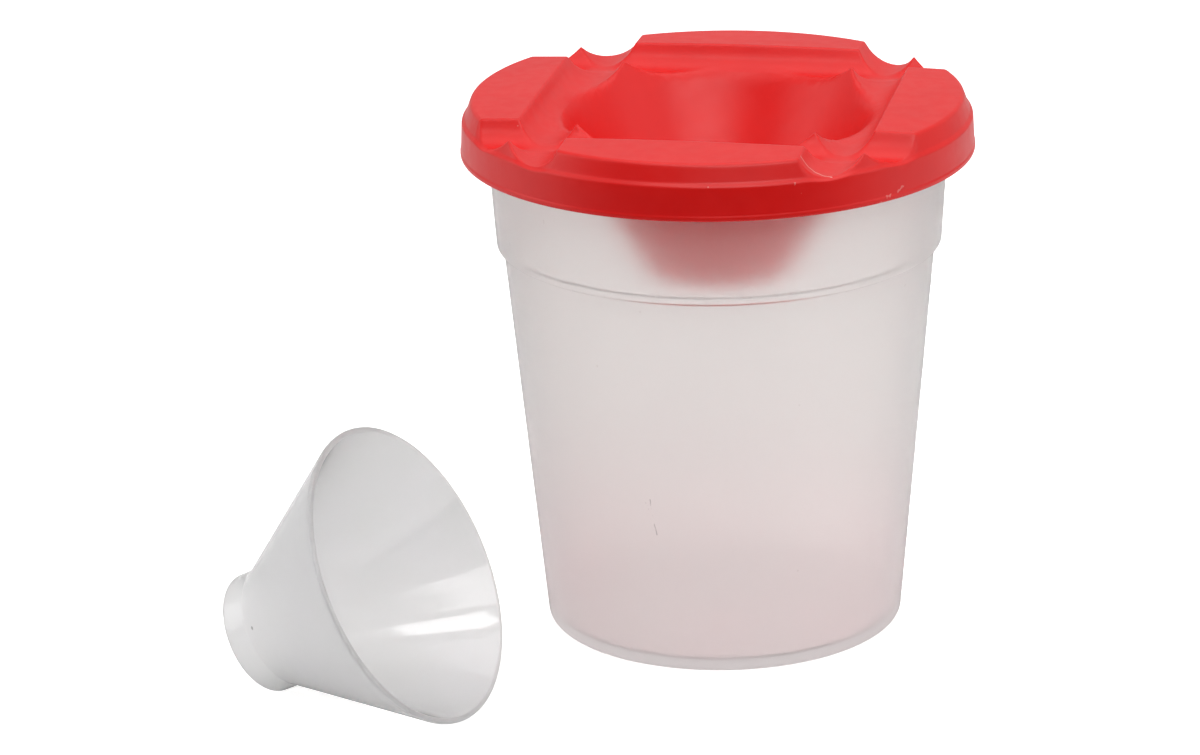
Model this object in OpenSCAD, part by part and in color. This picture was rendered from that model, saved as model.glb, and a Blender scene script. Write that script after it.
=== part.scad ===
// Brush washer: a tapered cup, a lid with four round brush rests and a built-in funnel,
// and a loose cone insert that lines the funnel. The insert lies on the floor beside the cup.
// The origin is the middle of the cup's foot on the floor. +Z is up, and X and Y run along
// the brush rests. All sizes are millimetres.

/* [Cup] */
// Outer radius of the tapered body, carried down to the floor
cup_foot_r = 29.9; // [22:0.1:45]
// Outer radius of the tapered body at its top, under the step
cup_body_r = 35.87; // [25:0.01:60]
// Height of the tapered body, up to the step
cup_body_h = 65.6; // [40:0.1:120]
// How far the step widens the cup
step_out = 1.1; // [0.5:0.01:4]
// Height of the slope under the step
step_h = 0.4; // [0.2:0.1:6]
// Height of the collar above the step, up to the rim
collar_h = 19.6; // [12:0.1:40]
// How much the collar widens between the step and the rim
collar_flare = 1.18; // [0:0.01:4]
// How far the lip under the lid stands out from the collar
lip_out = 2.65; // [1:0.01:6]
// Thickness of the lip
lip_t = 1.3; // [0.8:0.1:3]
// Wall thickness of the cup
cup_wall = 1.1; // [0.7:0.1:3]
// Thickness of the cup's floor
cup_floor = 1.4; // [0.8:0.1:4]
// Radius of the rounded edge round the foot
foot_round = 1; // [0.3:0.1:2]
// Radius of the rounded corner inside, between wall and floor
well_round = 2; // [0.5:0.1:6]

/* [Lid] */
// Wall thickness of the lid and its funnel
lid_wall = 1.3; // [0.8:0.1:3]
// Gap between the cup's lip and the inside of the skirt
skirt_gap = 0.4; // [0.3:0.05:1]
// How far the skirt hangs below the cup's rim
skirt_drop = 4.1; // [2:0.1:12]
// Width of the ledge inside the lid that rests on the cup's lip
seat_w = 1.6; // [1:0.1:3]
// Height of the skirt above the rim, up to the narrow ledge outside
skirt_rise = 1.45; // [0.5:0.05:6]
// How much the skirt narrows towards the ledge
skirt_draft = 0.35; // [0:0.01:1]
// How far the ledge steps in
ledge_w = 0.55; // [0.3:0.05:2]
// Height of the ledge's slope
ledge_h = 0.6; // [0.2:0.05:2]
// Height of the steep side above the ledge
side_h = 2.85; // [1:0.05:8]
// How far the steep side leans in
side_lean = 1.05; // [0.3:0.05:4]
// How much the top rises from its edge to the funnel's mouth
crown_rise = 0.55; // [0.1:0.05:3]
// Radius that rounds the edge between the side and the top
side_round = 0.7; // [0.3:0.1:1]
// Radius that softens the skirt's lower edge
skirt_edge_round = 0.3; // [0.1:0.05:0.5]

/* [Brush rests] */
// Distance of each groove's middle line from the middle of the lid
rest_offset = 24.2; // [15:0.1:40]
// Radius of the round groove
rest_r = 4.92; // [2:0.02:8]
// Depth of the groove below the funnel's mouth
rest_depth = 3.86; // [1:0.02:6]
// Radius that rounds both shoulders of a groove
rest_round = 0.8; // [0.2:0.1:2]

// Height above the lid's top at which that rounding would turn level
rest_open = 0.2; // [0.1:0.05:0.6]

/* [Funnel] */
// Radius of the funnel's mouth at the height of the lid's top
funnel_mouth_r = 27.86; // [18:0.02:36]
// Radius of the throat at the funnel's lower end
throat_r = 10.4; // [5:0.1:16]
// Angle between the funnel's side and its axis, in degrees
funnel_angle = 30; // [20:1:45]

/* [Insert] */
// Gap between the insert's neck and the funnel's throat
insert_gap = 0.2; // [0.2:0.05:1]
// Outer radius of the insert's mouth
insert_mouth_r = 25.49; // [16:0.01:34]
// Length of the stub below the cone
stub_h = 4.2; // [2:0.1:15]
// How much the stub narrows from the neck to its end
stub_draft = 0.06; // [0:0.02:1]
// Wall thickness of the insert
insert_wall = 1; // [0.7:0.1:2]
// Radius that rounds the outer edges at both ends of the insert
insert_edge_round = 0.4; // [0.1:0.05:0.45]
// Radius of the hollow where the cone meets the stub
neck_round = 1.5; // [0.5:0.1:2.5]
// Direction from the cup's axis to the insert's mouth, in degrees from X
insert_bearing = 229.89; // [190:0.01:260]
// Distance between the lid's edge and the middle of the insert's mouth, seen from above
insert_away = 23.5; // [20:0.1:80]
// Direction that the insert's mouth faces, in degrees from X
insert_turn = -11.8; // [-60:0.01:30]

/* [Hidden] */
$fn = 128;

cup_colour = [0.84, 0.82, 0.81];
lid_colour = [0.83, 0.09, 0.08];
insert_colour = [0.87, 0.87, 0.87];

// Widest turn between two points of a rounded corner, in degrees
arc_step = 18;
// Extra length of a cutter, so that it ends clear of what it cuts
over = 5;

// Heights and radii of the cup
step_top = cup_body_h + step_h;
rim_z = step_top + collar_h;
collar_r = cup_body_r + step_out;
neck_r = collar_r + collar_flare;
lip_r = neck_r + lip_out;
body_taper = (cup_body_r - cup_foot_r) / cup_body_h;
inner_step_z = cup_body_h + cup_wall;
well_r = cup_foot_r + body_taper * cup_floor - cup_wall;

// Heights and radii of the lid
skirt_r = lip_r + skirt_gap;
lid_r = skirt_r + lid_wall;
seat_r = skirt_r - seat_w;
skirt_z = rim_z - skirt_drop;
ledge_z = rim_z + skirt_rise;
ledge_top = ledge_z + ledge_h;
skirt_top_r = lid_r - skirt_draft;
side_r = skirt_top_r - ledge_w;
top_z = ledge_top + side_h;
top_r = side_r - side_lean;
crown_z = top_z + crown_rise;
funnel_run = (funnel_mouth_r - throat_r) / tan(funnel_angle);
throat_z = crown_z - funnel_run;
rest_centre_z = crown_z - rest_depth + rest_r;
// Level width of the funnel's wall, and the drop of its rim inside the lid
funnel_wall_w = lid_wall / cos(funnel_angle);
funnel_wall_h = lid_wall / tan(funnel_angle);

// The insert: its axis is Z here, with the stub's end at 0
neck_out_r = throat_r - insert_gap;
stub_end_r = neck_out_r - stub_draft;
insert_h = stub_h + (insert_mouth_r - neck_out_r) / tan(funnel_angle);
insert_wall_w = insert_wall / cos(funnel_angle);
inner_neck_z = stub_h + insert_wall * tan(funnel_angle / 2);
// It rests on the outer edges of both ends, which are rounded alike
lean_run = insert_h - 2 * insert_edge_round;
insert_lean = atan2(insert_mouth_r - stub_end_r, lean_run);
edge_ring_r = insert_mouth_r - insert_edge_round;
rest_h = insert_edge_round + edge_ring_r * cos(insert_lean)
       + insert_edge_round * sin(insert_lean);
mouth_away = lid_r + insert_away;

function unit(v) = v / norm(v);

// The points of a short arc that rounds the corner at p, between a and b, by r
function arc_points(a, p, b, r) =
    let (
        to_a = unit(a - p),
        to_b = unit(b - p),
        half = acos(to_a * to_b) / 2,
        centre = p + unit(to_a + to_b) * (r / sin(half)),
        from = p + to_a * (r / tan(half)) - centre,
        sense = sign(to_a[0] * to_b[1] - to_a[1] * to_b[0]),
        sweep = -sense * (180 - 2 * half),
        steps = max(1, ceil(abs(sweep) / arc_step))
    )
    [for (i = [0:steps]) let (t = sweep * i / steps)
        centre + [from[0] * cos(t) - from[1] * sin(t), from[0] * sin(t) + from[1] * cos(t)]];

// An outline whose corners are [x, y, radius]: a radius of 0 stays sharp
function rounded(corners) =
    let (n = len(corners), xy = [for (c = corners) [c[0], c[1]]])
    [for (i = [0:n - 1]) each corners[i][2] > 0
        ? arc_points(xy[(i + n - 1) % n], xy[i], xy[(i + 1) % n], corners[i][2])
        : [xy[i]]];

module cup_section() {
    polygon(rounded([
        [0, 0, 0], [cup_foot_r, 0, foot_round],
        [cup_body_r, cup_body_h, 0], [collar_r, step_top, 0],
        [neck_r, rim_z - lip_t, 0], [lip_r, rim_z - lip_t, lip_t / 3], [lip_r, rim_z, lip_t / 3],
        [neck_r - cup_wall, rim_z, 0], [collar_r - cup_wall, inner_step_z, 0],
        [cup_body_r - cup_wall, inner_step_z, 0], [well_r, cup_floor, well_round], [0, cup_floor, 0]
    ]));
}

module cup() {
    color(cup_colour) rotate_extrude() cup_section();
}

// Section of one brush rest: x is across the groove, y is the height
module rest_section() {
    shoulder_top = crown_z + rest_open;
    lift = rest_centre_z + rest_round - shoulder_top;
    side = sqrt(pow(rest_r + rest_round, 2) - pow(lift, 2));
    start = atan2(lift, -side);
    steps = ceil((start - 90) / arc_step);
    shoulder = [for (i = [0:steps]) let (t = start + (90 - start) * i / steps)
        [side + rest_round * cos(t), shoulder_top - rest_round + rest_round * sin(t)]];
    translate([0, rest_centre_z]) circle(r = rest_r);
    for (flip = [0, 1]) mirror([flip, 0]) polygon([
        [0, rest_centre_z], each shoulder, [side, shoulder_top + over], [0, shoulder_top + over]
    ]);
}

// The four rests, each a straight bar right across the lid
module rests() {
    length = 2 * (lid_r + over);
    for (turn = [0, 90]) rotate([90, 0, turn]) for (x = [-rest_offset, rest_offset])
        translate([x, 0, -length / 2]) linear_extrude(height = length) children();
}

module lid_section() {
    wall_low = throat_r + funnel_wall_w;
    polygon(rounded([
        [lid_r, skirt_z, skirt_edge_round], [skirt_top_r, ledge_z, 0], [side_r, ledge_top, 0],
        [top_r, top_z, side_round], [funnel_mouth_r, crown_z, 0], [throat_r, throat_z, 0],
        [wall_low, throat_z, 0], [wall_low + (skirt_z - throat_z) * tan(funnel_angle), skirt_z, 0]
    ]));
}

// The hollow under the lid, between the skirt and the funnel
module underside_section() {
    under_z = top_z - lid_wall;
    under_r = funnel_mouth_r + funnel_wall_w - (crown_z - under_z) * tan(funnel_angle);
    low_r = under_r - (under_z - skirt_z + over) * tan(funnel_angle);
    polygon([
        [low_r, skirt_z - over], [skirt_r, skirt_z - over], [skirt_r, rim_z], [seat_r, rim_z],
        [seat_r, under_z], [under_r, under_z]
    ]);
}

module lid() {
    color(lid_colour) difference() {
        rotate_extrude() lid_section();
        rests() rest_section();
        difference() {
            rotate_extrude() underside_section();
            rests() translate([0, rest_centre_z]) circle(r = rest_r + lid_wall);
        }
    }
}

module insert_section() {
    polygon(rounded([
        [stub_end_r, 0, insert_edge_round], [neck_out_r, stub_h, neck_round],
        [insert_mouth_r, insert_h, insert_edge_round],
        [insert_mouth_r - insert_wall_w, insert_h, 0],
        [neck_out_r - insert_wall, inner_neck_z, 0], [stub_end_r - insert_wall, 0, 0]
    ]));
}

module insert() {
    color(insert_colour)
        rotate([0, 0, insert_bearing]) translate([mouth_away, 0, rest_h])
        rotate([0, 0, insert_turn - insert_bearing]) rotate([0, 90 - insert_lean, 0])
        translate([0, 0, -insert_h]) rotate_extrude() insert_section();
}

cup();
lid();
insert();
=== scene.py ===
# %% [markdown]
# # A brush washer with its lid and its loose cone
#
# The real object is three plastic mouldings: a milky cup, a red lid with four brush rests and
# a funnel, and a thin cone that lines the funnel. Each cell below makes one of them or one
# finish, and prints what it made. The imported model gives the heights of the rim, the crown and
# the throat, and the other sizes repeat the values of the part's source.

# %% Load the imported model
from math import acos, atan2, ceil, cos, hypot, pi, radians, sin, sqrt, tan

import bmesh
import bpy
from mathutils import Matrix, Vector


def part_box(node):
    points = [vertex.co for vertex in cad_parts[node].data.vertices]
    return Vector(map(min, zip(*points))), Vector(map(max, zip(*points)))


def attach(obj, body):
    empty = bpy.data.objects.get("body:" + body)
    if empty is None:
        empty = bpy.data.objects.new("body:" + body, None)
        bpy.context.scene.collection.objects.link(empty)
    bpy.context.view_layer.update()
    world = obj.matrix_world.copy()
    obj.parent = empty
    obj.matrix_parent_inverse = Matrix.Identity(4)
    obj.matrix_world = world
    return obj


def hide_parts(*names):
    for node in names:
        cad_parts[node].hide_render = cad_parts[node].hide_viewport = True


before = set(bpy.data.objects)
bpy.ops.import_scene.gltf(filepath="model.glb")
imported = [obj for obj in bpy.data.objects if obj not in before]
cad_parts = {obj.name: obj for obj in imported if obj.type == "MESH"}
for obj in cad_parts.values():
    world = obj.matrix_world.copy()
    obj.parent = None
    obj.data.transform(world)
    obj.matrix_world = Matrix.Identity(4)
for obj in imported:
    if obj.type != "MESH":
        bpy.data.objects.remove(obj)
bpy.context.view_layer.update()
mm = 0.001

# %% [markdown]
# The camera stands where the photographer stood: about 0.8 m away, looking down by 19 degrees,
# and 10 degrees to the right of the lid's own front. A long lens keeps the cup's sides straight.

# %% Camera
camera_turn = radians(10.38)
camera_reach = 759.985 * mm
camera_height = 304.831 * mm
camera_pan = radians(1.536)
camera_pitch = radians(19.114)
camera_roll = radians(-1.427)
camera_data = bpy.data.cameras.new("camera")
camera_data.lens = 143.55
camera_data.sensor_width = 36.0
camera_data.sensor_fit = "HORIZONTAL"
camera_data.clip_start = 0.05
camera = bpy.data.objects.new("camera", camera_data)
bpy.context.collection.objects.link(camera)
camera.matrix_world = (
    Matrix.Translation((camera_reach * sin(camera_turn), -camera_reach * cos(camera_turn), camera_height))
    @ Matrix.Rotation(camera_turn + camera_pan, 4, "Z")
    @ Matrix.Rotation(pi / 2 - camera_pitch, 4, "X")
    @ Matrix.Rotation(camera_roll, 4, "Z")
)
bpy.context.scene.camera = camera
bpy.context.scene.view_settings.view_transform = "Standard"
print("camera at", [round(v, 4) for v in camera.matrix_world.translation])

# %% [markdown]
# A moulding that is round about an axis starts as half of its section. The section's corners
# are typed in, rounded with a vertex bevel, cut into short edges where detail is needed, and
# spun once round. The same helper serves all three pieces.

# %% Helper: a spun moulding
corner_steps = 6
weld_gap = 0.002 * mm
on_axis = 1e-6
edge_gain = 0.6


def section_loop(bm, corners):
    """A closed outline in the XZ plane. Each corner is (radius, height, rounding)."""
    verts = [bm.verts.new((r, 0.0, z)) for r, z, _ in corners]
    for here, there in zip(verts, verts[1:] + verts[:1]):
        bm.edges.new((here, there))
    roundings = sorted({c[2] for c in corners if c[2] > 0})
    groups = {q: [v for v, c in zip(verts, corners) if c[2] == q] for q in roundings}
    for rounding, group in groups.items():
        for vert in group:
            ways = [(e.other_vert(vert).co - vert.co).normalized() for e in vert.link_edges]
            half = acos(max(-1.0, min(1.0, ways[0].dot(ways[1])))) / 2
            bmesh.ops.bevel(bm, geom=[vert], offset=rounding / tan(half), offset_type="OFFSET",
                            segments=corner_steps, profile=0.5, affect="VERTICES", material=-1)


def cut_long_edges(bm, longest):
    """Splits each edge so that none is longer than longest(middle point)."""
    for edge in list(bm.edges):
        middle = (edge.verts[0].co + edge.verts[1].co) / 2
        cuts = ceil(edge.calc_length() / longest(middle)) - 1
        if cuts > 0:
            bmesh.ops.subdivide_edges(bm, edges=[edge], cuts=cuts)


def spin_round(bm, steps):
    """Spins the section once round the Z axis and turns its faces outwards."""
    geometry = bm.verts[:] + bm.edges[:]
    bmesh.ops.spin(bm, geom=geometry, cent=(0, 0, 0), axis=(0, 0, 1), dvec=(0, 0, 0),
                   angle=2 * pi, steps=steps, use_merge=True, use_duplicate=False)
    bmesh.ops.remove_doubles(bm, verts=bm.verts[:], dist=weld_gap)
    bmesh.ops.recalc_face_normals(bm, faces=bm.faces[:])


def paint_edges(bm):
    """Keeps how sharply each point bulges, from 0 to 1, as the map of rubbed edges."""
    layer = bm.verts.layers.float.new("edge")
    for vert in bm.verts:
        turns = [e.calc_face_angle_signed(0.0) for e in vert.link_edges]
        reach = sum(e.calc_length() for e in vert.link_edges)
        vert[layer] = min(max(sum(turns) / reach * edge_gain * mm, 0.0), 1.0)


def finished(bm, name, body, node, material):
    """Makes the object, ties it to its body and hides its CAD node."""
    mesh = bpy.data.meshes.new(name)
    bm.to_mesh(mesh)
    bm.free()
    mesh.polygons.foreach_set("use_smooth", [True] * len(mesh.polygons))
    piece = bpy.data.objects.new(name, mesh)
    bpy.context.collection.objects.link(piece)
    piece.data.materials.append(material)
    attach(piece, body)
    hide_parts(node)
    triangles = sum(len(p.vertices) - 2 for p in mesh.polygons)
    print(name, "has", triangles, "triangles")


print("corners are rounded in", corner_steps, "steps")

# %% [markdown]
# Each plastic is a Principled shader fed by small shared effects: a moulded grain for the
# surface's normal, spot masks for dust, pits and scratches, and an edge map kept on the mesh.
# Short helpers add the nodes, so that each finish below reads as a list of what it has.

# %% Helper: shader nodes
def feed(tree, made, values):
    """Each value is a number or a colour to set, or the socket to link from."""
    for key, value in values.items():
        if isinstance(value, bpy.types.NodeSocket):
            tree.links.new(value, made.inputs[key])
        else:
            made.inputs[key].default_value = value


def node(tree, kind, values, **properties):
    made = tree.nodes.new(kind)
    for key, value in properties.items():
        setattr(made, key, value)
    feed(tree, made, values)
    return made


def calc(tree, operation, a, b=0.0, clamp=False):
    return node(tree, "ShaderNodeMath", {0: a, 1: b}, operation=operation, use_clamp=clamp).outputs[0]


def vector_calc(tree, operation, values, output="Vector"):
    return node(tree, "ShaderNodeVectorMath", values, operation=operation).outputs[output]


def ramp(tree, value, low, high, to_low=0.0, to_high=1.0):
    """A smooth step from one value to another."""
    made = node(tree, "ShaderNodeMapRange", {"Value": value, "From Min": low, "From Max": high,
                "To Min": to_low, "To Max": to_high}, interpolation_type="SMOOTHSTEP")
    return made.outputs["Result"]


def blend(tree, factor, first, second):
    """The first colour where the factor is 0, and the second where it is 1."""
    return node(tree, "ShaderNodeMix", {0: factor, 6: first, 7: second}, data_type="RGBA").outputs[2]


def noise(tree, vector, scale, detail):
    """Smooth clouds from 0 to 1, each about 1 / scale metres across."""
    values = {"Vector": vector, "Scale": scale, "Detail": detail}
    return node(tree, "ShaderNodeTexNoise", values).outputs[0]


print("the helpers for shader nodes are ready")


# %% Helper: node groups
def new_group(name, takes, gives):
    """An empty node group with named sockets. Gives the group, its inputs and its output node."""
    group = bpy.data.node_groups.new(name, "ShaderNodeTree")
    for label, kind, value in takes:
        socket = group.interface.new_socket(label, in_out="INPUT", socket_type=kind)
        if value is not None:
            socket.default_value = value
    for label, kind in gives:
        group.interface.new_socket(label, in_out="OUTPUT", socket_type=kind)
    return group, group.nodes.new("NodeGroupInput").outputs, group.nodes.new("NodeGroupOutput")


def use_group(tree, group, values, output):
    return node(tree, "ShaderNodeGroup", values, node_tree=group).outputs[output]


print("the helpers for node groups are ready")

# %% [markdown]
# The grain group gives the fine orange peel of a spark-eroded mould, and under it the slow
# waviness of a thin wall. Both are bumps of a few hundredths of a millimetre or less. Marks
# from the other groups are raised or sunk on top of them.

# %% Shared effect: moulded grain
def make_grain():
    group, takes, gives = new_group(
        "moulded_grain",
        [("Vector", "NodeSocketVector", None), ("Grain Size", "NodeSocketFloat", 0.5 * mm),
         ("Grain Depth", "NodeSocketFloat", 0.002 * mm), ("Wave Size", "NodeSocketFloat", 9 * mm),
         ("Wave Depth", "NodeSocketFloat", 0.01 * mm), ("Marks", "NodeSocketFloat", 0.0),
         ("Mark Depth", "NodeSocketFloat", 0.01 * mm)],
        [("Normal", "NodeSocketVector")])
    heights = []
    for size, detail in (("Grain Size", 2.0), ("Wave Size", 1.0)):
        scale = calc(group, "DIVIDE", 1.0, takes[size])
        peel = node(group, "ShaderNodeTexNoise", {"Vector": takes["Vector"], "Scale": scale,
                    "Detail": detail, "Roughness": 0.55})
        heights.append(peel.outputs[0])
    wave = node(group, "ShaderNodeBump", {"Height": heights[1], "Distance": takes["Wave Depth"]})
    grain = node(group, "ShaderNodeBump", {"Height": heights[0], "Distance": takes["Grain Depth"],
                 "Normal": wave.outputs[0]})
    marked = node(group, "ShaderNodeBump", {"Height": takes["Marks"], "Distance": takes["Mark Depth"],
                  "Normal": grain.outputs[0]})
    group.links.new(marked.outputs[0], gives.inputs["Normal"])
    return group


moulded_grain = make_grain()
print("moulded_grain has", len(moulded_grain.nodes), "nodes")

# %% [markdown]
# The spot group scatters soft-edged dots, and only a share of the cells gets one. Stretching
# the coordinates before it turns the dots into fine scratches.

# %% Shared effect: scattered spots
def make_spots():
    group, takes, gives = new_group(
        "scattered_spots",
        [("Vector", "NodeSocketVector", None), ("Cell", "NodeSocketFloat", 4 * mm),
         ("Radius", "NodeSocketFloat", 0.06), ("Share", "NodeSocketFloat", 0.2)],
        [("Mask", "NodeSocketFloat")])
    scale = calc(group, "DIVIDE", 1.0, takes["Cell"])
    cells = node(group, "ShaderNodeTexVoronoi", {"Vector": takes["Vector"], "Scale": scale})
    reach = calc(group, "DIVIDE", cells.outputs["Distance"], takes["Radius"])
    dot = ramp(group, reach, low=0.6, high=1.0, to_low=1.0, to_high=0.0)
    parts = node(group, "ShaderNodeSeparateColor", {0: cells.outputs["Color"]})
    chosen = calc(group, "LESS_THAN", parts.outputs[0], takes["Share"])
    group.links.new(calc(group, "MULTIPLY", dot, chosen), gives.inputs["Mask"])
    return group


scattered_spots = make_spots()


def stretched(tree, vector, turn, scale):
    values = {"Vector": vector, "Rotation": turn, "Scale": scale}
    return node(tree, "ShaderNodeMapping", values).outputs[0]


def spots(tree, vector, cell, radius, share):
    """Dots in a share of the cells. The radius is a part of the cell's width."""
    values = {"Vector": vector, "Cell": cell, "Radius": radius, "Share": share}
    return use_group(tree, scattered_spots, values, "Mask")


print("scattered_spots has", len(scattered_spots.nodes), "nodes")

# %% [markdown]
# A few marks of the photographed piece sit at known places: a nick, a hair scratch, a speck.
# This group marks everything within a short way of a straight line between two points.

# %% Shared effect: one mark at a place
ragged_size = 0.9 * mm
noise_middle = (0.5, 0.5, 0.5)
least_square = 1e-12


def make_mark():
    group, takes, gives = new_group(
        "placed_mark",
        [("Vector", "NodeSocketVector", None), ("Start", "NodeSocketVector", (0, 0, 0)),
         ("End", "NodeSocketVector", (0, 0, 0)), ("Radius", "NodeSocketFloat", 0.3 * mm),
         ("Raggedness", "NodeSocketFloat", 0.2 * mm)],
        [("Mask", "NodeSocketFloat")])
    rags = node(group, "ShaderNodeTexNoise", {"Vector": takes["Vector"], "Scale": 1 / ragged_size,
                "Detail": 2.0})
    shift = vector_calc(group, "SUBTRACT", {0: rags.outputs[1], 1: noise_middle})
    ragged = vector_calc(group, "SCALE", {0: shift, "Scale": takes["Raggedness"]})
    place = vector_calc(group, "ADD", {0: takes["Vector"], 1: ragged})
    way = vector_calc(group, "SUBTRACT", {0: takes["End"], 1: takes["Start"]})
    here = vector_calc(group, "SUBTRACT", {0: place, 1: takes["Start"]})
    along = vector_calc(group, "DOT_PRODUCT", {0: here, 1: way}, "Value")
    square = vector_calc(group, "DOT_PRODUCT", {0: way, 1: way}, "Value")
    share = calc(group, "DIVIDE", along, calc(group, "MAXIMUM", square, least_square), clamp=True)
    foot = vector_calc(group, "SCALE", {0: way, "Scale": share})
    gap = vector_calc(group, "DISTANCE", {0: here, 1: foot}, "Value")
    reach = calc(group, "DIVIDE", gap, takes["Radius"])
    mask = ramp(group, reach, low=0.5, high=1.0, to_low=1.0, to_high=0.0)
    group.links.new(mask, gives.inputs["Mask"])
    return group


placed_mark = make_mark()


def marks(tree, vector, places, radius, raggedness):
    """The sum of several placed marks. Each place is a start and an end, in millimetres."""
    total = 0.0
    for start, end in places:
        mask = use_group(tree, placed_mark, {
            "Vector": vector, "Start": Vector(start) * mm, "End": Vector(end) * mm,
            "Radius": radius, "Raggedness": raggedness}, "Mask")
        total = calc(tree, "ADD", mask, total, clamp=True)
    return total


print("placed_mark has", len(placed_mark.nodes), "nodes")

# %% [markdown]
# Every plastic starts in the same way and is coloured in the same way: a base colour, and over
# it one thin stain after another, each with a mask that says where it is.

# %% Helper: a plastic
def new_plastic(name):
    """A material with its tree, its shader and its object coordinates."""
    material = bpy.data.materials.new(name)
    material.use_nodes = True
    tree = material.node_tree
    place = tree.nodes.new("ShaderNodeTexCoord").outputs["Object"]
    return material, tree, tree.nodes["Principled BSDF"], place


def stained(tree, base, stains):
    """Lays stains over the base. Each stain is (mask, strength, colour)."""
    for mask, strength, colour in stains:
        base = blend(tree, calc(tree, "MULTIPLY", mask, strength), base, colour)
    return base


print("the helpers for a plastic are ready")

# %% [markdown]
# The lid is glossy red. Its mould was textured, so the gloss is broad. The edges are rubbed a
# little smoother and paler. Thin raised flash rims the end of one groove, with a painted pale highlight
# along it.

# %% Lid plastic: the marks in the photograph
lid_nicks = [
    ((33.6, -25.9, 82.8), (34.4, -24.8, 83.2)), ((32.2, -27.6, 82.2), (32.6, -27.2, 82.5)),
    ((19.0, -37.6, 87.1), (19.2, -37.5, 87.3)), ((31.3, -28.8, 81.6), (31.8, -28.3, 81.6)),
]
# The flash is raised in the normal, and its pale colour is a painted highlight along it.
flash_x, flash_y, flash_z = 24.2, -33.6, 92.1
flash_r = 4.96
flash_from = 200
flash_step = 10
flash_turns = [radians(flash_from + flash_step * i) for i in range(15)]
flash_points = [(flash_x + flash_r * cos(a), flash_y, flash_z + flash_r * sin(a)) for a in flash_turns]
lid_flash_and_highlight = list(zip(flash_points, flash_points[1:]))
print("the lid has", len(lid_nicks), "nicks and", len(lid_flash_and_highlight), "short lengths of flash")

# %% Lid plastic: the finish
lid_red = (0.745, 0.0055, 0.0045, 1)
lid_red_light = (0.785, 0.007, 0.0055, 1)
rubbed_red = (0.9, 0.1, 0.08, 1)
dusty_red = (0.95, 0.45, 0.4, 1)
dirty_red = (0.25, 0.004, 0.003, 1)
nicked_red = (0.95, 0.45, 0.42, 1)
# Painted highlight: the pale colour laid along the raised flash.
flash_painted_highlight = (0.95, 0.42, 0.38, 1)


def make_lid_plastic():
    material, tree, shader, place = new_plastic("lid_plastic")
    feed(tree, shader, {"Specular IOR Level": 0.43, "IOR": 1.49})
    edge = node(tree, "ShaderNodeAttribute", {}, attribute_name="edge").outputs["Fac"]
    flow = noise(tree, place, scale=90.0, detail=3.0)
    patch = noise(tree, place, scale=420.0, detail=4.0)
    rub = calc(tree, "MULTIPLY", edge, ramp(tree, patch, low=0.35, high=0.65, to_low=0.3, to_high=1.0))
    pale_dust = spots(tree, place, cell=5 * mm, radius=0.035, share=0.35)
    turned = stretched(tree, place, turn=(0.4, 0.2, 0.9), scale=(1, 1, 1))
    dark_dust = spots(tree, turned, cell=7 * mm, radius=0.03, share=0.3)
    drawn = stretched(tree, place, turn=(0.3, 0.9, 0.5), scale=(1, 1, 0.06))
    hairs = spots(tree, drawn, cell=1.6 * mm, radius=0.05, share=0.35)
    nicks = marks(tree, place, lid_nicks, radius=0.3 * mm, raggedness=1.3 * mm)
    # One mask both raises the flash and paints a pale highlight along it.
    flash_and_highlight = marks(tree, place, lid_flash_and_highlight, radius=0.17 * mm, raggedness=0.25 * mm)
    base = blend(tree, ramp(tree, flow, low=0.3, high=0.7), lid_red, lid_red_light)
    base = stained(tree, base, [
        (rub, 0.12, rubbed_red), (pale_dust, 0.35, dusty_red), (dark_dust, 0.5, dirty_red),
        (nicks, 0.35, nicked_red), (flash_and_highlight, 0.8, flash_painted_highlight),
    ])
    rough = ramp(tree, patch, low=0.3, high=0.7, to_low=0.35, to_high=0.4)
    rough = calc(tree, "SUBTRACT", rough, calc(tree, "MULTIPLY", rub, 0.1))
    raised = calc(tree, "ADD", calc(tree, "MULTIPLY", hairs, -0.25), calc(tree, "ADD", nicks, flash_and_highlight))
    normal = use_group(tree, moulded_grain, {
        "Vector": place, "Grain Size": 0.55 * mm, "Grain Depth": 0.004 * mm, "Wave Size": 14 * mm,
        "Wave Depth": 0.012 * mm, "Marks": raised, "Mark Depth": 0.03 * mm}, "Normal")
    feed(tree, shader, {"Base Color": base, "Roughness": rough, "Normal": normal})
    return material


lid_plastic = make_lid_plastic()
print("lid plastic has", len(lid_plastic.node_tree.nodes), "nodes")

# %% [markdown]
# The cup is milky polypropylene: light comes through it, blurred by the matt surface. The
# lower part is painted warmer, a painted glow of the red lid's light, and fine draw marks run up the
# wall.

# %% Cup plastic: the marks in the photograph
cup_scratches = [
    ((-6.24, -32.1, 30.7), (-5.9, -32.0, 27.6)), ((-5.9, -32.0, 27.6), (-5.28, -31.7, 24.5)),
    ((-7.1, -32.0, 30.2), (-6.6, -31.95, 29.0)),
]
cup_dots = [
    ((-6.6, -35.1, 63.9), (-6.6, -35.1, 63.9)), ((33.06, -13.3, 63.0), (33.06, -13.3, 63.0)),
    ((-34.5, -14.0, 71.2), (-34.5, -14.0, 71.5)), ((-30.9, -20.6, 69.6), (-30.9, -20.6, 69.9)),
    ((-23.1, -29.6, 76.5), (-23.1, -29.6, 76.9)),
]
print("the cup has", len(cup_scratches), "lengths of scratch and", len(cup_dots), "dots")

# %% Cup plastic: the finish
milk = (0.965, 0.945, 0.935, 1)
# Painted glow: the pink that stands in for the lid's red light on the lower cup.
milk_painted_red_glow = (0.965, 0.885, 0.885, 1)
speck_brown = (0.45, 0.4, 0.38, 1)
scratch_grey = (0.3, 0.28, 0.28, 1)
dot_grey = (0.5, 0.46, 0.46, 1)


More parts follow.
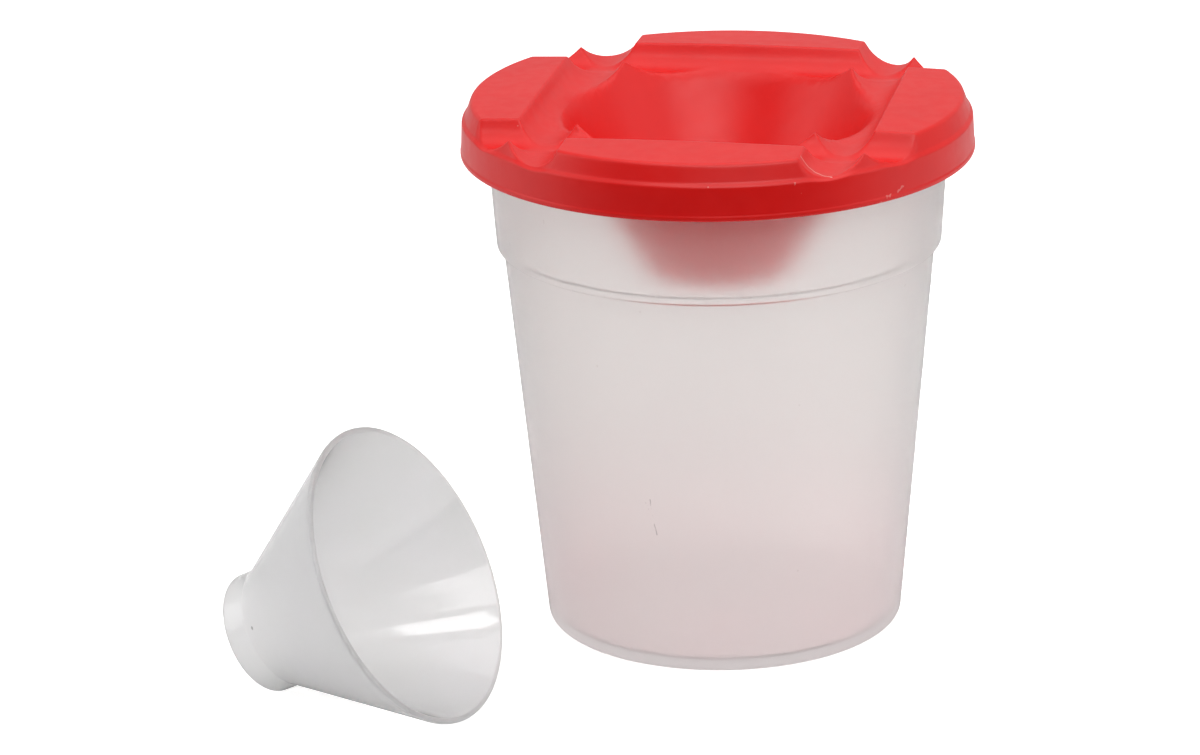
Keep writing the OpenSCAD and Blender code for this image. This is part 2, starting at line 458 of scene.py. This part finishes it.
def make_cup_plastic():
    material, tree, shader, place = new_plastic("cup_plastic")
    feed(tree, shader, {"Transmission Weight": 0.84, "IOR": 1.25})
    parts = node(tree, "ShaderNodeSeparateXYZ", {0: place}).outputs
    # Painted glow: the pink tint grows towards the bottom, standing in for red light from the lid.
    painted_glow_low = ramp(tree, parts["Z"], low=2 * mm, high=48 * mm, to_low=1.0, to_high=0.0)
    cloud = noise(tree, place, scale=60.0, detail=3.0)
    patch = noise(tree, place, scale=500.0, detail=3.0)
    specks = spots(tree, place, cell=8 * mm, radius=0.03, share=0.3)
    drawn = stretched(tree, place, turn=(0, 0, 0), scale=(1, 1, 0.04))
    draw = spots(tree, drawn, cell=1.8 * mm, radius=0.05, share=0.3)
    scratch = marks(tree, place, cup_scratches, radius=0.14 * mm, raggedness=0.4 * mm)
    dots = marks(tree, place, cup_dots, radius=0.3 * mm, raggedness=0.3 * mm)
    painted_glow_share = calc(tree, "MULTIPLY", painted_glow_low, ramp(tree, cloud, low=0.3, high=0.7, to_low=0.75, to_high=1.0))
    base = blend(tree, painted_glow_share, milk, milk_painted_red_glow)
    base = stained(tree, base, [
        (specks, 0.25, speck_brown), (scratch, 0.7, scratch_grey), (dots, 0.22, dot_grey),
    ])
    rough = ramp(tree, patch, low=0.3, high=0.7, to_low=0.34, to_high=0.4)
    dents = calc(tree, "ADD", calc(tree, "MULTIPLY", draw, -0.3), calc(tree, "MULTIPLY", scratch, -1.0))
    normal = use_group(tree, moulded_grain, {
        "Vector": place, "Grain Size": 0.7 * mm, "Grain Depth": 0.003 * mm, "Wave Size": 16 * mm,
        "Wave Depth": 0.03 * mm, "Marks": dents, "Mark Depth": 0.02 * mm}, "Normal")
    feed(tree, shader, {"Base Color": base, "Roughness": rough, "Normal": normal})
    return material


cup_plastic = make_cup_plastic()
print("cup plastic has", len(cup_plastic.node_tree.nodes), "nodes")

# %% [markdown]
# The insert is thinner and glossier: a clear coat over the same milky plastic, faint flow
# lines from the stub's gate, and one dark speck.

# %% Insert plastic
insert_milk = (0.845, 0.845, 0.84, 1)
insert_milk_light = (0.865, 0.86, 0.865, 1)
insert_brown = (0.4, 0.38, 0.36, 1)
insert_dark = (0.18, 0.17, 0.16, 1)
insert_specks = [((-67.4, -56.4, 14.5), (-67.4, -56.4, 14.5))]


def make_insert_plastic():
    material, tree, shader, place = new_plastic("insert_plastic")
    feed(tree, shader, {"Transmission Weight": 0.72, "IOR": 1.25, "Coat Weight": 0.85,
                        "Coat Roughness": 0.06, "Coat IOR": 1.5})
    cloud = noise(tree, place, scale=70.0, detail=3.0)
    patch = noise(tree, place, scale=480.0, detail=3.0)
    specks = spots(tree, place, cell=7 * mm, radius=0.03, share=0.25)
    drawn = stretched(tree, place, turn=(0.5, 0.3, 0.2), scale=(0.05, 1, 1))
    hairs = spots(tree, drawn, cell=1.6 * mm, radius=0.05, share=0.3)
    speck = marks(tree, place, insert_specks, radius=0.42 * mm, raggedness=0.3 * mm)
    base = blend(tree, ramp(tree, cloud, low=0.3, high=0.7), insert_milk, insert_milk_light)
    base = stained(tree, base, [(specks, 0.3, insert_brown), (speck, 0.8, insert_dark)])
    rough = ramp(tree, patch, low=0.3, high=0.7, to_low=0.34, to_high=0.38)
    normal = use_group(tree, moulded_grain, {
        "Vector": place, "Grain Size": 0.8 * mm, "Grain Depth": 0.0006 * mm, "Wave Size": 16 * mm,
        "Wave Depth": 0.02 * mm, "Marks": calc(tree, "MULTIPLY", hairs, -1.0),
        "Mark Depth": 0.0015 * mm}, "Normal")
    feed(tree, shader, {"Base Color": base, "Roughness": rough, "Normal": normal,
                        "Coat Normal": normal})
    return material


insert_plastic = make_insert_plastic()
print("insert plastic has", len(insert_plastic.node_tree.nodes), "nodes")

# %% [markdown]
# The cup is one thin wall with a flat floor. Its body tapers, a narrow step widens it into
# the collar, and a small lip under the lid carries the lid's ledge.

# %% Cup
cup_wall = 1.1 * mm
foot_r = 29.9 * mm
foot_round = 1 * mm
body_r = 35.87 * mm
body_top = 65.6 * mm
step_top = 66.0 * mm
step_round = 0.4 * mm
collar_r = 36.97 * mm
collar_round = 0.35 * mm
inner_step_z = body_top + cup_wall
inner_step_round = 0.5 * mm
neck_r = 38.15 * mm
neck_round = 0.3 * mm
rim_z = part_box("cup")[1][2]
lip_r = 40.8 * mm
lip_t = 1.3 * mm
lip_round = 0.4 * mm
floor_t = 1.4 * mm
well_r = foot_r + (body_r - foot_r) / body_top * floor_t - cup_wall
well_round = 2 * mm
cup_edge = 6 * mm
cup_steps = 192

bm = bmesh.new()
section_loop(bm, [
    (0, 0, 0), (foot_r, 0, foot_round), (body_r, body_top, step_round),
    (collar_r, step_top, collar_round), (neck_r, rim_z - lip_t, neck_round),
    (lip_r, rim_z - lip_t, lip_round), (lip_r, rim_z, lip_round),
    (neck_r - cup_wall, rim_z, neck_round), (collar_r - cup_wall, inner_step_z, inner_step_round),
    (body_r - cup_wall, inner_step_z, inner_step_round), (well_r, floor_t, well_round),
    (0, floor_t, 0),
])
for edge in list(bm.edges):
    if all(abs(v.co.x) < on_axis for v in edge.verts):
        bm.edges.remove(edge)
cut_long_edges(bm, lambda middle: cup_edge)
spin_round(bm, cup_steps)
finished(bm, "cup_shell", "cup", "cup", cup_plastic)

# %% [markdown]
# The lid's section is spun first, as if it had no rests. The points of its underside are told
# apart here, while the shape is still plain, because they will follow the grooves from below.

# %% Lid: the section, spun
lid_low, lid_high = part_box("lid")
lid_r = 42.5 * mm
lid_wall = 1.3 * mm
skirt_z = 81.5 * mm
skirt_round = 0.3 * mm
skirt_inner_r = 41.2 * mm
skirt_inner_round = 0.2 * mm
bead_r = 42.38 * mm
bead_z = 82.2 * mm
bead_h = 0.3 * mm
ledge_r = 42.15 * mm
ledge_z = 87.05 * mm
ledge_round = 0.6 * mm
side_r = 41.6 * mm
side_z = 87.65 * mm
side_round = 0.9 * mm
top_r = 40.55 * mm
top_z = 90.5 * mm
top_round = 0.8 * mm
crown_z = lid_high[2]
seat_r = 39.6 * mm
mouth_r = 27.86 * mm
mouth_round = 0.5 * mm
throat_r = 10.4 * mm
throat_z = lid_low[2]
throat_round = 0.3 * mm
cone_angle = radians(30)
slope = tan(cone_angle)
wall_w = lid_wall / cos(cone_angle)
under_z = top_z - lid_wall
under_r = mouth_r + wall_w - (crown_z - under_z) * slope
under_round = 0.6 * mm
rest_zone_z = 85 * mm
rest_zone_r = 24 * mm
fine_edge = 0.35 * mm
coarse_edge = 2 * mm
lid_steps = 240

bm = bmesh.new()
section_loop(bm, [
    (lid_r, skirt_z, skirt_round), (lid_r, bead_z, skirt_round), (bead_r, bead_z + bead_h, skirt_round),
    (ledge_r, ledge_z, ledge_round), (side_r, side_z, side_round), (top_r, top_z, top_round),
    (mouth_r, crown_z, mouth_round), (throat_r, throat_z, throat_round),
    (throat_r + wall_w, throat_z, throat_round), (under_r, under_z, under_round),
    (seat_r, under_z, under_round), (seat_r, rim_z, 0), (skirt_inner_r, rim_z, skirt_inner_round),
    (skirt_inner_r, skirt_z, skirt_round),
])
cut_long_edges(bm, lambda p: fine_edge if p.z > rest_zone_z and p.x > rest_zone_r else coarse_edge)
spin_round(bm, lid_steps)

under_top_gap = 0.15 * mm
under_cone_gap = 0.3 * mm
under_reach = 40 * mm
under_layer = bm.verts.layers.float.new("underside")
for vert in bm.verts:
    r = hypot(vert.co.x, vert.co.y)
    cone_r = mouth_r - (crown_z - vert.co.z) * slope
    above = vert.co.z > under_z + under_top_gap
    outside = above or r > under_reach or r < cone_r + under_cone_gap
    vert[under_layer] = 0.0 if outside else 1.0
print("the lid's section is spun, with", len(bm.verts), "points")

# %% [markdown]
# Each brush rest is a straight round groove. Its height is worked out for any point, and past
# its edge it goes on rising steeply, so that it ends there. Where two surfaces meet, a smooth
# minimum rounds the edge between them, as the mould's edges are.

# %% Lid: the height of the grooves
rest_offset = 24.2 * mm
rest_r = 4.92 * mm
rest_depth = 3.86 * mm
rest_centre_z = crown_z - rest_depth + rest_r
rest_edge_share = 0.97
crossing_blend = 0.5 * mm


def smooth_min(a, b, width):
    overlap = max(width - abs(a - b), 0.0) / width
    return min(a, b) - overlap * overlap * width / 4


def groove_height(t, radius):
    """Height of a round groove t away from its middle line, going on steeply past its edge."""
    edge = radius * rest_edge_share
    t = abs(t)
    if t < edge:
        return rest_centre_z - sqrt(radius * radius - t * t)
    drop = sqrt(radius * radius - edge * edge)
    return rest_centre_z - drop + (t - edge) * edge / drop


def rests_height(x, y, radius):
    """Height of the lowest groove at a point. Two grooves run along each axis."""
    along_y = min(groove_height(x - rest_offset, radius), groove_height(x + rest_offset, radius))
    along_x = min(groove_height(y - rest_offset, radius), groove_height(y + rest_offset, radius))
    return smooth_min(along_x, along_y, crossing_blend)


print("the grooves are", 2 * rest_r, "m wide and", rest_depth, "m deep")

# %% [markdown]
# Planes along both sides of each groove cut the mesh, closest together at the groove's edge.
# Every point above a groove is then lowered onto it, and the underside's points onto a groove
# that is one wall wider.

# %% Lid: the grooves, cut
rest_cuts = [0, 1.4, 2.6, 3.4, 3.9, 4.2, 4.4, 4.6, 4.8, 5.0, 5.25, 5.6, 6.1, 6.6]
cut_gap = 0.01 * mm
lowered_from_z = 84 * mm
top_blend = 1.3 * mm
under_blend = 0.4 * mm

for across in ((1, 0, 0), (0, 1, 0)):
    for side in (-1, 1):
        for cut in rest_cuts:
            for hand in ((-1, 1) if cut else (1,)):
                place = side * rest_offset + hand * cut * mm
                zone = [f for f in bm.faces if max(v.co.z for v in f.verts) > rest_zone_z]
                edges = {e for f in zone for e in f.edges}
                verts = {v for f in zone for v in f.verts}
                bmesh.ops.bisect_plane(bm, geom=zone + list(edges) + list(verts), dist=cut_gap,
                                       plane_co=Vector(across) * place, plane_no=across)
for vert in bm.verts:
    x, y, z = vert.co
    if z < lowered_from_z:
        continue
    if vert[under_layer] < 0.5:
        vert.co.z = smooth_min(z, rests_height(x, y, rest_r), top_blend)
    else:
        vert.co.z = smooth_min(z, rests_height(x, y, rest_r + lid_wall), under_blend)
paint_edges(bm)
finished(bm, "lid_shell", "lid", "lid", lid_plastic)

# %% [markdown]
# The insert is the same kind of spun moulding. It is made upright, then laid on its side so
# that the outer edges of its mouth and its stub both touch the floor.

# %% Insert: the cone, upright
insert_wall = 1.0 * mm
insert_mouth_r = 25.49 * mm
insert_neck_r = 10.2 * mm
insert_end_r = 10.14 * mm
stub_h = 4.2 * mm
edge_round = 0.4 * mm
outer_neck_round = 1.5 * mm
inner_mouth_round = 0.2 * mm
inner_neck_round = 2.5 * mm
inner_end_round = 0.3 * mm
insert_h = stub_h + (insert_mouth_r - insert_neck_r) / slope
insert_wall_w = insert_wall / cos(cone_angle)
inner_neck_z = stub_h + insert_wall * tan(radians(15))
insert_edge = 3 * mm
insert_steps = 192

bm = bmesh.new()
section_loop(bm, [
    (insert_end_r, 0, edge_round), (insert_neck_r, stub_h, outer_neck_round),
    (insert_mouth_r, insert_h, edge_round),
    (insert_mouth_r - insert_wall_w, insert_h, inner_mouth_round),
    (insert_neck_r - insert_wall, inner_neck_z, inner_neck_round),
    (insert_end_r - insert_wall, 0, inner_end_round),
])
cut_long_edges(bm, lambda middle: insert_edge)
spin_round(bm, insert_steps)
print("the insert is", insert_h, "m long")

# %% Insert: laid down beside the cup
lean = atan2(insert_mouth_r - insert_end_r, insert_h - 2 * edge_round)
rest_h = edge_round + (insert_mouth_r - edge_round) * cos(lean) + edge_round * sin(lean)
bearing = radians(229.89)
facing = radians(-11.8)
mouth_away = lid_r + 23.5 * mm
lie_down = (
    Matrix.Translation((mouth_away * cos(bearing), mouth_away * sin(bearing), rest_h))
    @ Matrix.Rotation(facing, 4, "Z")
    @ Matrix.Rotation(pi / 2 - lean, 4, "Y")
    @ Matrix.Translation((0, 0, -insert_h))
)
bmesh.ops.transform(bm, matrix=lie_down, verts=bm.verts[:])
finished(bm, "insert_cone", "insert", "insert", insert_plastic)

# %% [markdown]
# The object stands on a white floor. The floor glows for the camera, so it is white and still
# keeps the shadow, and it glows faintly for what is seen through the plastic, most under the cup,
# which is a painted pool of light. Its far front, out of the picture, is dark, because the
# photographed lid reflects something dark there.

# %% Floor: the finish
toward_camera = (sin(camera_turn), -cos(camera_turn), 0.0)
floor_white = (0.88, 0.88, 0.88, 1)
floor_dark = (0.04, 0.04, 0.04, 1)
near_glow = 0.62
far_front_glow = 0.5
floor_material = bpy.data.materials.new("floor_white")
floor_material.use_nodes = True
tree = floor_material.node_tree
shader = tree.nodes["Principled BSDF"]
path = tree.nodes.new("ShaderNodeLightPath")
place = tree.nodes.new("ShaderNodeTexCoord").outputs["Object"]
reach = vector_calc(tree, "LENGTH", {0: place}, "Value")
ahead = vector_calc(tree, "DOT_PRODUCT", {0: place, 1: toward_camera}, "Value")
far_front = ramp(tree, ahead, low=120 * mm, high=200 * mm)
# Painted light: seen through the plastic, the floor glows most under and near the cup, a painted pool of
# light.
painted_glow_under_cup = ramp(tree, reach, low=30 * mm, high=80 * mm, to_low=0.28, to_high=0.11)
through = calc(tree, "MULTIPLY", path.outputs["Is Transmission Ray"], painted_glow_under_cup)
seen = calc(tree, "ADD", near_glow, calc(tree, "MULTIPLY", far_front, far_front_glow))
glow = calc(tree, "ADD", through, calc(tree, "MULTIPLY", path.outputs["Is Camera Ray"], seen))
tone = blend(tree, far_front, floor_white, floor_dark)
feed(tree, shader, {"Base Color": tone, "Roughness": 0.9, "Specular IOR Level": 0.0,
                    "Emission Color": (1, 1, 1, 1), "Emission Strength": glow})
print("the floor's finish has", len(tree.nodes), "nodes")

# %% Floor: the sheet
floor_half = 6.0
bm = bmesh.new()
bmesh.ops.create_grid(bm, x_segments=1, y_segments=1, size=floor_half)
floor_mesh = bpy.data.meshes.new("floor")
bm.to_mesh(floor_mesh)
bm.free()
floor = bpy.data.objects.new("floor", floor_mesh)
bpy.context.collection.objects.link(floor)
floor.data.materials.append(floor_material)
print("the floor is", 2 * floor_half, "m wide")

# %% [markdown]
# The world is a white tent. The camera sees it at full strength, and so does light that has
# passed through the plastic. It shines on the surfaces less: bright from behind the object,
# and dim from the camera's side, as the reflections in the photographed lid show.

# %% World
away_from_camera = (-sin(camera_turn), cos(camera_turn), 0.0)
tent_dim = 0.1
tent_bright = 0.52
world = bpy.data.worlds.new("tent")
bpy.context.scene.world = world
world.use_nodes = True
tree = world.node_tree
path = tree.nodes.new("ShaderNodeLightPath")
way = tree.nodes.new("ShaderNodeTexCoord").outputs["Generated"]
behind = vector_calc(tree, "DOT_PRODUCT", {0: way, 1: away_from_camera}, "Value")
tent = ramp(tree, behind, low=-0.8, high=0.1, to_low=tent_dim, to_high=tent_bright)
clear = calc(tree, "MAXIMUM", path.outputs["Is Camera Ray"], path.outputs["Is Transmission Ray"])
lit = calc(tree, "MULTIPLY", tent, calc(tree, "SUBTRACT", 1.0, clear))
level = calc(tree, "ADD", lit, clear)
feed(tree, tree.nodes["Background"], {"Color": (1, 1, 1, 1), "Strength": level})
print("the tent shines from", tent_dim, "to", tent_bright)

# %% [markdown]
# Large soft lamps give the plastic its wide, slow shading. A small one, high above the insert,
# makes the narrow bright band inside its cone.

# %% Softboxes
def softbox(name, place, aim, size, power):
    lamp = bpy.data.lights.new(name, "AREA")
    lamp.shape = "RECTANGLE"
    lamp.size, lamp.size_y = size
    lamp.energy = power
    piece = bpy.data.objects.new(name, lamp)
    bpy.context.collection.objects.link(piece)
    way = Vector(aim) - Vector(place)
    turn = way.to_track_quat("-Z", "Y").to_matrix().to_4x4()
    piece.matrix_world = Matrix.Translation(place) @ turn
    print(name, "has", power, "W")


cup_middle = (0, 0, 0.05)
softbox("top_box", place=(0.1, 0.15, 1.0), aim=cup_middle, size=(0.9, 0.9), power=3.1)
softbox("left_box", place=(-0.9, -0.2, 0.45), aim=cup_middle, size=(0.6, 0.9), power=2.1)
softbox("right_box", place=(0.9, -0.1, 0.45), aim=cup_middle, size=(0.6, 0.9), power=1.6)
softbox("front_top_box", place=(0.35, -0.75, 0.95), aim=cup_middle, size=(0.9, 0.6), power=5.7)
insert_spot = Vector((-0.05, -0.05, 0.02))
front_bearing = radians(-110)
front_rise = radians(69)
front_way = Vector((cos(front_bearing) * cos(front_rise), sin(front_bearing) * cos(front_rise),
                    sin(front_rise)))
softbox("front_box", place=insert_spot + front_way, aim=insert_spot, size=(0.2, 0.19), power=0.75)
